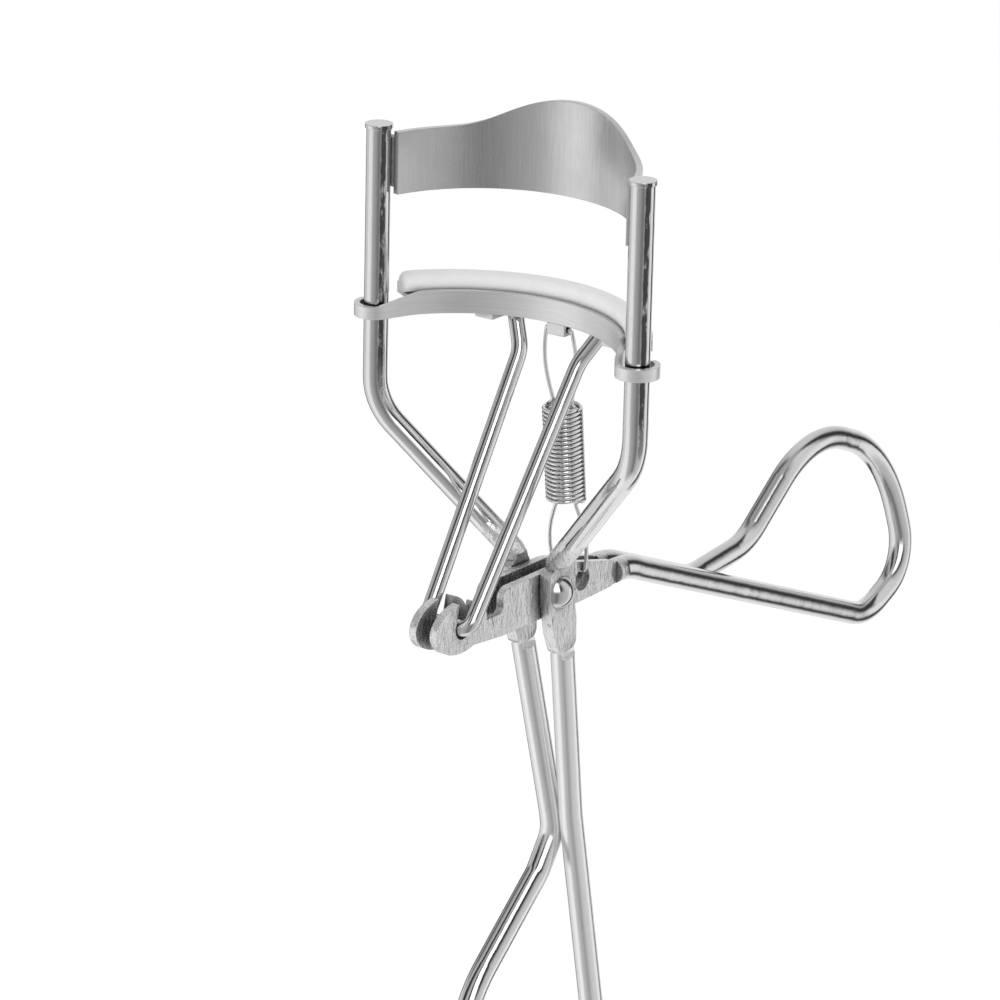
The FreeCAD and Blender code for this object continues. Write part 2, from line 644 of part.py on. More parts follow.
def make_lug(name, middle_x, hole, hole_diameter_formula):
    """A lug behind the front wall, hanging from it and from the floor, with a hole along X."""
    inner_x = max(0.0, middle_x - size("lug_width") / 2)
    front = (STRAP_CENTRE + math.sqrt(CHANNEL_FRONT ** 2 - inner_x ** 2)
             + size("strap_thickness") / 4)
    block = DOC.addObject("Part::Box", name + "_block")
    reach = f"({hole_diameter_formula}) / 2 + Sizes.lug_wall"
    bind(block, Length="Sizes.lug_width",
         Width=f"{hole.y - front} + {reach}",
         Height=f"Sizes.floor_bottom + Sizes.floor_thickness / 2 - {hole.z} + {reach}",
         Placement__Base__x=f"{middle_x} - Sizes.lug_width / 2",
         Placement__Base__z=f"{hole.z} - ({reach})")
    block.Placement.Base.y = front
    bore = cylinder_along_x(name + "_hole", hole_diameter_formula, "2 * Sizes.lug_width",
                            Vector(middle_x, hole.y, hole.z))
    return cut(name, block, bore)


def make_clamp_bar():
    """The sliding bar: strap and guide rings, channel, two pin lugs and the spring lug."""
    plan = prism("strap_plan", strap_half_face(), Z_AXIS, "4 * Sizes.strap_bottom")
    front = prism("strap_front", strap_front_face(), Y_AXIS, "2 * Sizes.post_spacing")
    right_half = common("strap_right", plan, front)
    pin_room = "Sizes.pushrod_diameter + 2 * Sizes.lug_clearance"
    lug_middle = size("lug_inner") + size("lug_width") / 2
    right_lug = make_lug("lug_right", lug_middle, PIN, pin_room)
    spring_lug = make_lug("lug_spring", 0.0, SPRING_EYE, "2 * Sizes.spring_eye_radius")
    return fuse("clamp_bar", [right_half, mirrored("strap_left", right_half), make_channel(),
                              right_lug, mirrored("lug_left", right_lug), spring_lug],
                refine=False)


def make_lash_pad():
    """The soft strip in the channel, with a rounded crown."""
    body = DOC.addObject("PartDesign::Body", "lash_pad")
    gap = "Sizes.strap_thickness + Sizes.pad_clearance"
    bottom = "Sizes.floor_bottom + Sizes.floor_thickness + Sizes.pad_clearance"
    sketch = sector_sketch(body, "pad_plan", "Sizes.strap_centre",
                           f"Sizes.channel_front + {gap}",
                           f"Sizes.channel_front + Sizes.channel_width - ({gap})",
                           "Sizes.pad_span * 1 deg", bottom)
    raised = pad_up(body, "pad_block", sketch, f"Sizes.pad_top - ({bottom})")
    DOC.recompute()
    crown = body.newObject("PartDesign::Fillet", "pad_crown")
    top_edges = [f"Edge{number}" for number, edge in enumerate(raised.Shape.Edges, start=1)
                 if edge.BoundBox.ZMin > size("pad_top") - size("pad_clearance")
                 and edge.Curve.TypeId == "Part::GeomCircle"]
    crown.Base = (raised, top_edges)
    bind(crown, Radius="Sizes.pad_crown_radius")
    return body


# ---------------------------------------------------------------------------- pushrod and lever


def make_pushrod_wire():
    """The bent wire that lifts the clamp: a pin in each lug, two legs, and a bar through the ears."""
    ear_side = PAIR_HALF + size("cheek_thickness") / 2
    leg_side = ear_side + size("pushrod_side_gap") + size("pushrod_diameter") / 2
    bend = size("pushrod_bend")
    waist_radius = size("pushrod_waist_radius")

    def corners(side):
        return [
            (Vector(side * size("pushrod_shoulder"), PIN.y, PIN.z), bend),
            (Vector(side * size("pushrod_waist"), size("pushrod_waist_depth"),
                    size("pushrod_waist_height")), waist_radius),
            (CROSSBAR + X_AXIS * side * leg_side, bend),
        ]

    path = bent_path(PIN + X_AXIS * size("pushrod_end"), corners(1) + corners(-1)[::-1],
                     PIN - X_AXIS * size("pushrod_end"))
    return rod("pushrod", path, "Sizes.pushrod_diameter")


def cheek_face():
    """The side view of one cheek with the neck that carries its ear."""
    front, rear = -size("cheek_front"), size("cheek_rear")
    top, bottom = size("cheek_top"), -size("cheek_bottom")
    neck_low = bottom + size("neck_rise")
    neck_high = neck_low + size("neck_height")
    ear = -size("ear_reach")
    wire_top = -size("lever_knee_drop") + WIRE_RADIUS
    wire_bottom = -size("lever_knee_drop") - WIRE_RADIUS
    soft, tight, tail = (size("cheek_soft_radius"), size("cheek_corner_radius"),
                         size("cheek_tail_radius"))
    return rounded_face([
        (Vector(0, ear, neck_low), tight),
        (Vector(0, front, bottom), tight),
        (Vector(0, size("cheek_belly_back"), bottom), soft),
        (Vector(0, rear, wire_bottom), tail),
        (Vector(0, rear, wire_top), tail),
        (Vector(0, size("cheek_crest_back"), top), soft),
        (Vector(0, front, top), 2 * tight),
        (Vector(0, front, neck_high), tight),
        (Vector(0, ear, neck_high), tight),
    ])


def make_right_cheek():
    """The flattened end of the wire on the right, before its holes are made: cheek, neck and ear."""
    middle = "(Sizes.wire_diameter + Sizes.wire_pair_gap) / 2"
    sheet = prism("cheek_sheet", cheek_face(), X_AXIS, "Sizes.cheek_thickness")
    bind(sheet, Placement__Base__x=middle)
    rim = DOC.addObject("Part::Ellipse", "ear_rim")
    bind(rim, MajorRadius="Sizes.ear_length / 2", MinorRadius="Sizes.ear_height / 2")
    rim.Placement = Placement(CROSSBAR + Y_AXIS * size("ear_offset"),
                              Rotation(Y_AXIS, Z_AXIS, X_AXIS, "ZXY"))
    ear = DOC.addObject("Part::Extrusion", "ear_disc")
    ear.Base = rim
    ear.DirMode = "Custom"
    ear.Dir = X_AXIS
    ear.Solid = True
    ear.Symmetric = True
    bind(ear, LengthFwd="Sizes.cheek_thickness", Placement__Base__x=middle)
    return fuse("right_cheek", [sheet, ear])


def make_lever_holes():
    """Everything that is cut through both cheeks: the two slots, the pivot and the hook hole."""
    across = "4 * Sizes.wire_diameter"
    lean = Rotation(X_AXIS, -size("slot_lean"))
    slot_end = cylinder_along_x("slot_end", "Sizes.slot_width", across, SLOT_END)
    slot_side = DOC.addObject("Part::Box", "slot_side")
    bind(slot_side, Length=across, Width="Sizes.slot_width", Height="Sizes.ear_height")
    corner = Vector(-2 * size("wire_diameter"), -size("slot_width") / 2, 0)
    slot_side.Placement = Placement(SLOT_END + lean.multVec(corner), lean)
    pivot = cylinder_along_x("pivot_hole", "Sizes.rivet_diameter + 2 * Sizes.lever_gap", across,
                             Vector(0, 0, 0))
    hook_hole = cylinder_along_x("hook_hole", "Sizes.hook_hole_diameter", across,
                                 Vector(0, HOOK_HOLE.y, HOOK_HOLE.z))
    return fuse("lever_holes", [slot_end, slot_side, pivot, hook_hole])


def lever_path():
    """The centre line of the moving handle, from the right cheek round its loop to the left one."""
    handle = moving_handle()
    knee_radius = size("lever_knee_radius")
    knee = Vector(0, size("lever_knee"), -size("lever_knee_drop"))
    start = Vector(0, size("hook_hole_back"), -size("lever_knee_drop"))
    side = X_AXIS * PAIR_HALF
    loop = loop_corners(handle, "lever")
    corners = [(knee + side, knee_radius)] + loop + [(knee - side, knee_radius)]
    return bent_path(start + side, corners, start - side)


def press_face():
    """The side view of the press that flattens the wire, with a rounded end towards the handle."""
    high = size("cheek_top")
    low = -size("cheek_bottom") - size("cheek_thickness")
    end_radius = size("press_end_radius")
    small = size("cheek_corner_radius")
    return rounded_face([
        (Vector(0, 0, low), small),
        (Vector(0, size("cheek_rear"), low), end_radius),
        (Vector(0, size("cheek_rear"), high), end_radius),
        (Vector(0, 0, high), small),
    ])


def make_lever_wire():
    """The moving handle: a bent wire whose two ends are flattened, holed and slotted."""
    wire = rod("lever", lever_path(), "Sizes.wire_diameter")
    between = prism("press_between", press_face(), X_AXIS,
                    "Sizes.wire_diameter + Sizes.wire_pair_gap - Sizes.cheek_thickness")
    outside = prism("press_right", press_face(), X_AXIS, "Sizes.wire_diameter")
    bind(outside, Placement__Base__x="Sizes.wire_diameter + (Sizes.wire_pair_gap"
         " + Sizes.cheek_thickness) / 2")
    press = fuse("lever_press", [between, outside, mirrored("press_left", outside)])
    pressed = cut("lever_pressed", wire, press)
    right_cheek = make_right_cheek()
    blank = fuse("lever_blank", [pressed, right_cheek, mirrored("left_cheek", right_cheek)])
    return cut("lever_wire", blank, make_lever_holes())


# ----------------------------------------------------------------------------- rivet and spring


def make_pivot_rivet():
    """The rivet along X: a shank between two domed heads, as one turned profile."""
    body = DOC.addObject("PartDesign::Body", "pivot_rivet")
    sketch = body.newObject("Sketcher::SketchObject", "rivet_profile")
    sketch.AttachmentSupport = [(origin_plane(body, "XY_Plane"), "")]
    sketch.MapMode = "FlatFace"
    grip = size("frame_gap") / 2 + size("coin_thickness")
    head_radius = size("rivet_head_diameter") / 2
    dome = size("rivet_head_height")
    shank = size("rivet_diameter") / 2
    dome_radius = (head_radius ** 2 + dome ** 2) / (2 * dome)
    dome_centre = grip + dome - dome_radius
    dome_half = math.asin(head_radius / dome_radius)

    def dome_arc(side):
        circle = Part.Circle(Vector(side * dome_centre, 0, 0), Z_AXIS, dome_radius)
        if side > 0:
            return Part.ArcOfCircle(circle, 0, dome_half)
        return Part.ArcOfCircle(circle, math.pi - dome_half, math.pi)

    right_dome, left_dome, right_face, left_face, barrel, axis = range(6)
    sketch.addGeometry(dome_arc(1), False)
    sketch.addGeometry(dome_arc(-1), False)
    for side in (1, -1):
        sketch.addGeometry(Part.LineSegment(Vector(side * grip, head_radius, 0),
                                            Vector(side * grip, shank, 0)), False)
    sketch.addGeometry(Part.LineSegment(Vector(grip, shank, 0), Vector(-grip, shank, 0)), False)
    sketch.addGeometry(Part.LineSegment(Vector(-grip - dome, 0, 0), Vector(grip + dome, 0, 0)), False)
    relate = sketch.addConstraint
    relate(Sketcher.Constraint("Coincident", right_dome, 2, right_face, 1))
    relate(Sketcher.Constraint("Coincident", right_face, 2, barrel, 1))
    relate(Sketcher.Constraint("Coincident", barrel, 2, left_face, 2))
    relate(Sketcher.Constraint("Coincident", left_face, 1, left_dome, 1))
    relate(Sketcher.Constraint("Coincident", left_dome, 2, axis, 1))
    relate(Sketcher.Constraint("Coincident", axis, 2, right_dome, 1))
    for dome_index, face_index in ((right_dome, right_face), (left_dome, left_face)):
        relate(Sketcher.Constraint("PointOnObject", dome_index, 3, -1))
        relate(Sketcher.Constraint("Vertical", face_index))
    relate(Sketcher.Constraint("PointOnObject", axis, 1, -1))
    relate(Sketcher.Constraint("PointOnObject", axis, 2, -1))
    relate(Sketcher.Constraint("Symmetric", barrel, 1, barrel, 2, -2))
    relate(Sketcher.Constraint("Horizontal", right_face, 1, left_face, 1))
    for label, constraint, formula in (
        ("grip", Sketcher.Constraint("DistanceX", barrel, 2, barrel, 1, 2 * grip),
         "Sizes.frame_gap + 2 * Sizes.coin_thickness"),
        ("shank", Sketcher.Constraint("DistanceY", -1, 1, barrel, 1, shank),
         "Sizes.rivet_diameter / 2"),
        ("head", Sketcher.Constraint("DistanceY", -1, 1, right_face, 1, head_radius),
         "Sizes.rivet_head_diameter / 2"),
        ("right_height", Sketcher.Constraint("DistanceX", right_face, 1, axis, 2, dome),
         "Sizes.rivet_head_height"),
        ("left_height", Sketcher.Constraint("DistanceX", axis, 1, left_face, 1, dome),
         "Sizes.rivet_head_height"),
    ):
        index = relate(constraint)
        sketch.renameConstraint(index, label)
        sketch.setExpression("Constraints." + label, formula)
    turned = body.newObject("PartDesign::Revolution", "rivet_turned")
    turned.Profile = sketch
    turned.ReferenceAxis = (sketch, ["H_Axis"])
    turned.Angle = 360
    return body


def hook_path(eye, width, down, side, coil_distance):
    """A long hook: from the side of the coil, up through the eye, and back down on the other side."""
    half = width / 2
    bend = size("hook_bend")
    coil_side = side * (size("coil_diameter") / 2)
    foot = eye + down * (coil_distance + size("spring_wire") / 2)
    return bent_path(foot + coil_side, [(eye + side * half, bend), (eye - side * half, bend)],
                     foot - coil_side)


def make_return_spring():
    """The tension spring from the spring lug to both cheeks, with a long hook at each end."""
    wire_radius = size("spring_wire") / 2
    slack = wire_radius + size("hook_gap")
    upper = SPRING_EYE - Z_AXIS * (size("spring_eye_radius") - slack)
    lower = HOOK_HOLE + Z_AXIS * (size("hook_hole_diameter") / 2 - slack)
    down = (lower - upper).normalize()
    side = (X_AXIS - down * X_AXIS.dot(down)).normalize()
    coil_length = size("coil_turns") * size("coil_pitch")
    upper_gap = size("coil_offset")
    lower_gap = upper.distanceToPoint(lower) - coil_length - upper_gap

    helix = DOC.addObject("Part::Helix", "coil_centre_line")
    bind(helix, Pitch="Sizes.coil_pitch", Height="Sizes.coil_pitch * Sizes.coil_turns",
         Radius="Sizes.coil_diameter / 2")
    turn = Rotation(side, down.cross(side), down, "ZXY")
    helix.Placement = Placement(upper + down * upper_gap, turn)
    section = DOC.addObject("Part::Circle", "coil_section")
    bind(section, Radius="Sizes.spring_wire / 2")
    section.Placement = Placement(upper + down * upper_gap + side * (size("coil_diameter") / 2),
                                  Rotation(Z_AXIS, down.cross(side)))
    coil = DOC.addObject("Part::Sweep", "coil")
    coil.Sections = [section]
    coil.Spine = (helix, ["Edge1"])
    coil.Solid = True
    coil.Frenet = True
    hooks = [
        rod("upper_hook", hook_path(upper, size("upper_hook_width"), down, side, upper_gap),
            "Sizes.spring_wire"),
        rod("lower_hook", hook_path(lower, size("lower_hook_width"), -down, side, lower_gap),
            "Sizes.spring_wire"),
    ]
    return fuse("return_spring", [coil] + hooks, refine=False)


# ------------------------------------------------------------------------------------ the output


def make_parts():
    """Every separate piece of the curler, labelled with the name of its file."""
    makers = {
        "frame_wire": make_frame_wire,
        "top_plate": make_top_plate,
        "left_plate_weld": make_left_plate_weld,
        "right_plate_weld": make_right_plate_weld,
        "clamp_bar": make_clamp_bar,
        "lash_pad": make_lash_pad,
        "pushrod_wire": make_pushrod_wire,
        "return_spring": make_return_spring,
        "lever_wire": make_lever_wire,
        "pivot_rivet": make_pivot_rivet,
    }
    parts = []
    for label, make in makers.items():
        part = make()
        part.Label = label
        parts.append(part)
    DOC.recompute()
    return parts


def check(parts):
    """Stops if anything in the document failed, or if a piece is empty or invalid."""
    for thing in DOC.Objects:
        if "Invalid" in thing.State or "Error" in thing.State:
            raise RuntimeError(f"{thing.Name} failed: {thing.State}")
    for part in parts:
        if part.Shape.isNull() or not part.Shape.isValid():
            raise RuntimeError(f"{part.Label} has no valid shape")


def write(parts):
    """Writes each piece to its own file."""
    os.makedirs("parts", exist_ok=True)
    for part in parts:
        part.Shape.exportStep(os.path.join("parts", part.Label + ".step"))


PARTS = make_parts()
check(PARTS)
write(PARTS)
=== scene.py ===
import math

import bmesh
import bpy
from mathutils import Matrix, Vector


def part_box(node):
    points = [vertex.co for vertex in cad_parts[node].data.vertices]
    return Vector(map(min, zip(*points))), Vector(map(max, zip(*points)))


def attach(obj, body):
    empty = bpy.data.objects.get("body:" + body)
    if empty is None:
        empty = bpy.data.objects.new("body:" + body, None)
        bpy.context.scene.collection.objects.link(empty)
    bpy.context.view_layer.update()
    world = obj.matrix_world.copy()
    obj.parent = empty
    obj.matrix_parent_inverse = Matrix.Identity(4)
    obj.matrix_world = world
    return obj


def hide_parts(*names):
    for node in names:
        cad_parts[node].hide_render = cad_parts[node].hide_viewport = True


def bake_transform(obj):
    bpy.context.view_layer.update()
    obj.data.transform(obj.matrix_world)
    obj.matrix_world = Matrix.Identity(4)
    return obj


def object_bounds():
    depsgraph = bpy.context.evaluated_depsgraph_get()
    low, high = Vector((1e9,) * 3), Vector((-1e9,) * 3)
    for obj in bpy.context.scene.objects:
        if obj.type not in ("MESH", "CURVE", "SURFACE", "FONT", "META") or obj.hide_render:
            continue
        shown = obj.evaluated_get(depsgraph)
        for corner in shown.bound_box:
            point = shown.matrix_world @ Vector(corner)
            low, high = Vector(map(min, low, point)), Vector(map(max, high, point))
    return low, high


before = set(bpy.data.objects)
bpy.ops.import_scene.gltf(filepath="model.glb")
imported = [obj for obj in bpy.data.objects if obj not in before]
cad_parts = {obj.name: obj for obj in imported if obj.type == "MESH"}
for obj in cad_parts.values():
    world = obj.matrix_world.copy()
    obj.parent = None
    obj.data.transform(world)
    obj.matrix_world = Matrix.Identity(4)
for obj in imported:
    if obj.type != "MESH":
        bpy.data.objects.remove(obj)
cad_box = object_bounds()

MM = 0.001
QUARTER_TURN = math.pi / 2
FULL_TURN = 2 * math.pi

# The view, in degrees about the rivet; how far the camera stands off; how far it is slid right and
# up to frame the curler; its focal length and the width of its sensor, both in millimetres.
CAMERA_AZIMUTH = 36.0
CAMERA_ELEVATION = 18.726
CAMERA_ROLL = 1.307
CAMERA_DISTANCE = 600.0 * MM
CAMERA_SLIDE = (3.79 * MM, -8.964 * MM)
CAMERA_LENS = 207.196
SENSOR_WIDTH = 36.0

# The wires, in degrees: how far the straight side of the front handle leans from upright, and the
# bearing of the painted dark reflection line on each post, from the front towards the right.
HANDLE_LEAN = 11.5
REFLECTION_LINE_BEARING = 61.0

# Where one finish of the wires fades into the next, in millimetres from the rivet.
FLAT_FADE = (5.8, 7.0)
CHEEK_FADE = (12.2, 13.4)
HANDLE_SIDE_FADE = (1.6, 3.2)
HANDLE_TOP_FADE = (-8.0, -4.0)
POST_RISE = (14.0, 24.0)

# Greys that the wires turn to: on satin flats, in scores, along a painted dark reflection line and
# in corners, where shade is painted.
SATIN_GREY = 0.88
SCORE_GREY = 0.16
REFLECTION_LINE_GREY = 0.10
CORNER_SHADE_GREY = 0.06
# How far the marks of the wires leave their own tone: grain, dull posts and specks.
GRAIN_DARK = 0.93
DULL_DARK = 0.80
SPECK_DARK = 0.45
SPECK_DEPTH = 0.45
# How ragged the painted dark reflection line is, how much rougher the wires get in places, and how
# much of the light a satin flat scatters, as paint does, instead of reflecting it.
REFLECTION_LINE_WANDER = 0.06
WIRE_ROUGH_SPREAD = 0.09
SATIN_SCATTER = 0.22

# Sheet metal: how its streaks run (along x, along y, along z), how long and how close they are,
# and how far its marks leave its own tone.
UPRIGHT_STREAKS = (False, False, True)
LEVEL_STREAKS = (True, True, False)
STREAK_ALONG = 0.12
STREAK_ACROSS = 5.0
STREAK_DARK = 0.86
STREAK_BRIGHT = 1.08
BLOTCH_DARK = 0.82
GLINT_BRIGHT = 1.4
# How dark the painted shade in its corners turns it, as a share of its tone.
SHEET_CORNER_SHADE = 0.15
STREAK_SMOOTHER = 0.06
STREAK_ROUGHER = 0.08

# The pad: a strip bent about an upright axis, by this turn to each side of its middle, in degrees.
PAD_HALF_SPAN = 59.5
PAD_STATIONS = 120
# Each end is rounded over this length, and at its tip keeps this share of the width and height.
PAD_END_ROUND = 0.9 * MM
PAD_TIP_WIDTH = 0.45
PAD_TIP_HEIGHT = 0.62
# The crown, above this share of the height, rises and falls by this share along the strip.
PAD_CROWN = 0.5
PAD_SWELL = 0.015
PAD_SWELL_WAVES = 5.0
PAD_SWELL_PHASE = 0.7

# The spring: the radius of its wire, and its coil, which starts this far below the upper eye.
SPRING_WIRE = 0.21 * MM
COIL_RADIUS = 1.95 * MM
COIL_TURNS = 22
COIL_PITCH = 0.48 * MM
COIL_START = 8.6 * MM
COIL_STEPS = 28
COIL_SIDES = 10
# The hooks: half of the width over each eye, the bend there, and the outward bow of the legs.
UPPER_HOOK_HALF = 1.65 * MM
LOWER_HOOK_HALF = 2.1 * MM
HOOK_BEND = 0.35 * MM
HOOK_BELLY = 0.45 * MM
# A leg leaves the side of the coil, and this share of the way to the eye it has drawn in to a
# waist, which is this share of the coil's radius from the middle.
HOOK_TURN = 0.09
HOOK_WAIST = 0.6
HOOK_LEG_STEPS = 24
HOOK_BEND_STEPS = 5

# Round wires: the sides of their section, and the share of the radius that each end keeps.
WIRE_SIDES = 14
WIRE_END = 0.72

# What polished metal sees, by bearing from the camera (degrees to the right): one ring of panels
# and gaps a little below eye level, and one ring above it.
LOW_RING = [(-180, 0.75), (-166, 0.70), (-160, 0.04), (-146, 0.04), (-140, 0.50), (-128, 0.60),
            (-105, 0.58), (-92, 0.82), (-60, 0.78), (-50, 0.46), (-36, 0.37), (-18, 0.30), (2, 0.18),
            (12, 0.18), (24, 0.35), (48, 0.46), (78, 0.52), (98, 0.80), (111, 0.78), (116, 0.03),
            (128, 0.03), (138, 0.45), (152, 0.75), (180, 0.75)]
HIGH_RING = [(-180, 0.60), (-150, 0.55), (-130, 0.04), (-112, 0.30), (-96, 0.50), (-88, 0.03),
             (-66, 0.03), (-58, 0.30), (-34, 0.50), (-27, 0.02), (-14, 0.02), (-9, 1.6), (24, 1.6),
             (30, 0.02), (42, 0.02), (52, 0.34), (74, 0.62), (100, 0.62), (112, 0.03), (130, 0.03),
             (140, 0.40), (152, 0.55), (180, 0.60)]
FLOOR_GLOW = 0.72
ZENITH_GLOW = 0.36
# Over these heights, in degrees, the floor gives way to the low ring, that to the high ring, and
# that to the zenith.
LOW_RISE = (-78, -58)
HIGH_RISE = (2, 24)
ZENITH_RISE = (62, 80)
PANEL_STRENGTH = 1.2
WHITE_STRENGTH = 0.74

# The soft boxes, in metres and watts, and the floor, in metres.
BOX_SIZE = 0.8
KEY_PLACE = (-0.5, -0.7, 0.7)
KEY_POWER = 1.6
FILL_PLACE = (0.8, -0.5, 0.4)
FILL_POWER = 0.5
FLOOR_HALF = 4.0
FLOOR_GAP = 0.2 * MM


# ------------------------------------------------------------------------------- material nodes


def grey(value, warmth=0.0):
    return (value * (1 + warmth), value, value * (1 - warmth), 1.0)


class Nodes:
    """Short calls for the nodes of one tree; each value is a number or the output of a node."""

    # Places of the two colours and of the result in a mix node, which also mixes other kinds.
    FIRST_COLOUR = 6
    SECOND_COLOUR = 7
    MIXED_COLOUR = 2

    def __init__(self, tree):
        self.tree = tree
        self.tree.nodes.clear()

    def feed(self, socket, value):
        """Links a socket to an output, or sets a plain value."""
        if isinstance(value, bpy.types.NodeSocket):
            self.tree.links.new(value, socket)
        else:
            socket.default_value = value

    def node(self, kind, *values, **settings):
        """A new node with its settings; the values go to its first inputs."""
        made = self.tree.nodes.new(kind)
        for key, value in settings.items():
            setattr(made, key, value)
        for socket, value in zip(made.inputs, values):
            self.feed(socket, value)
        return made

    def math(self, operation, *values):
        return self.node("ShaderNodeMath", *values, operation=operation).outputs[0]

    def times(self, first, second):
        return self.math("MULTIPLY", first, second)

    def vector_math(self, operation, *values):
        """The outputs of a vector node: Vector, and Value where the result is a number."""
        return self.node("ShaderNodeVectorMath", *values, operation=operation).outputs

    def remap(self, value, low, high, to_low=0.0, to_high=1.0, curve="LINEAR"):
        return self.node("ShaderNodeMapRange", value, low, high, to_low, to_high,
                         interpolation_type=curve).outputs[0]

    def fade(self, value, ends):
        """1 up to the first of two values, falling to 0 at the second."""
        return self.remap(value, *ends, to_low=1.0, to_high=0.0)

    def mix(self, share, first, second):
        made = self.node("ShaderNodeMix", share, data_type="RGBA")
        self.feed(made.inputs[self.FIRST_COLOUR], first)
        self.feed(made.inputs[self.SECOND_COLOUR], second)
        return made.outputs[self.MIXED_COLOUR]

    def ramp(self, value, stops):
        """Greys along a value, through (position, grey) stops."""
        made = self.node("ShaderNodeValToRGB", value)
        points = made.color_ramp.elements
        for point, (position, shade) in zip(points, (stops[0], stops[-1])):
            point.position = position
            point.color = grey(shade)
        for position, shade in stops[1:-1]:
            points.new(position).color = grey(shade)
        return made.outputs[0]


class Shader(Nodes):
    """The nodes of one material, whose patterns are measured in millimetres of the object."""

    def __init__(self, name):
        self.material = bpy.data.materials.new(name)
        self.material.use_nodes = True
        super().__init__(self.material.node_tree)
        scale = self.node("ShaderNodeVectorMath", self.coordinates("Object"), operation="SCALE")
        self.feed(scale.inputs["Scale"], 1 / MM)
        self.millimetres = scale.outputs[0]

    def coordinates(self, kind):
        return self.node("ShaderNodeTexCoord").outputs[kind]

    def axis(self, name):
        """The X, Y or Z of a point, in millimetres from the rivet."""
        return self.node("ShaderNodeSeparateXYZ", self.millimetres).outputs[name]

    def stretched(self, scale):
        """Coordinates in millimetres, each axis times its own scale."""
        return self.vector_math("MULTIPLY", self.millimetres, scale)["Vector"]

    def noise(self, scale, detail=3.0, roughness=0.5, stretch=None):
        """Noise by its scale per millimetre; a stretch below 1 draws it out along that axis."""
        made = self.node("ShaderNodeTexNoise", self.stretched(stretch) if stretch else self.millimetres)
        self.feed(made.inputs["Scale"], scale)
        self.feed(made.inputs["Detail"], detail)
        self.feed(made.inputs["Roughness"], roughness)
        return made.outputs["Fac"]

    def layer(self, tint, share, shade):
        """The tint, turned to a grey by the share."""
        return self.mix(share, tint, grey(shade))

    def bump(self, height, distance, strength, normal=None):
        made = self.node("ShaderNodeBump")
        self.feed(made.inputs["Height"], height)
        self.feed(made.inputs["Distance"], distance)
        self.feed(made.inputs["Strength"], strength)
        if normal is not None:
            self.feed(made.inputs["Normal"], normal)
        return made.outputs["Normal"]

    def soft_edges(self, radius):
        return self.node("ShaderNodeBevel", radius, samples=6).outputs["Normal"]

    def occlusion_shade_mask(self, reach, closed, opened):
        """A mask for painted shade, from ambient occlusion: 1 in corners and gaps narrower than about
        twice the reach, 0 on open faces.
        """
        made = self.node("ShaderNodeAmbientOcclusion", samples=6)
        self.feed(made.inputs["Distance"], reach)
        return self.fade(made.outputs["AO"], (closed, opened))

    def finish(self, **inputs):
        """Joins the surface to the output; a name may use _ in place of a space."""
        surface = self.node("ShaderNodeBsdfPrincipled")
        for name, value in inputs.items():
            self.feed(surface.inputs[name.replace("_", " ")], value)
        self.node("ShaderNodeOutputMaterial", surface.outputs[0])
        return self.material


def near_rivet(shader):
    """1 on the flats of the frame about the rivet, falling to 0 along its wires."""
    beside = shader.stretched((0.0, 1.0, 1.0))
    return shader.fade(shader.vector_math("LENGTH", beside)["Value"], FLAT_FADE)


def cheeks_and_ears(shader):
    """1 on the flattened ends of the lever, falling to 0 where they turn into round wire."""
    return shader.fade(shader.axis("Y"), CHEEK_FADE)


def straight_handle(shader):
    """1 on the two straight wires of the front handle, 0 on its loop and above the rivet."""
    lean = math.radians(HANDLE_LEAN)
    outward = (0.0, -math.cos(lean), -math.sin(lean))
    along = shader.vector_math("DOT_PRODUCT", shader.millimetres, outward)["Value"]
    straight = shader.fade(along, HANDLE_SIDE_FADE)
    below = shader.fade(shader.axis("Z"), HANDLE_TOP_FADE)
    return shader.times(straight, below)


def posts(shader):
    """1 on the upright posts, falling to 0 below their corners."""
    return shader.remap(shader.axis("Z"), *POST_RISE)


def painted_reflection_line(shader):
    """1 along a ragged line down the outer side of each post, where a dark reflection is painted."""
    bearing = math.radians(REFLECTION_LINE_BEARING)
    side = (math.sin(bearing), -math.cos(bearing), 0.0)
    facing = shader.vector_math("DOT_PRODUCT", shader.coordinates("Normal"), side)["Value"]
    ragged = shader.noise(scale=1.1, detail=6.0, roughness=0.7, stretch=(1.6, 1.6, 0.4))
    wander = shader.math("MULTIPLY_ADD", ragged, REFLECTION_LINE_WANDER, facing)
    line = shader.remap(wander, low=0.995, high=1.015)
    return shader.times(line, shader.remap(ragged, low=0.36, high=0.46))


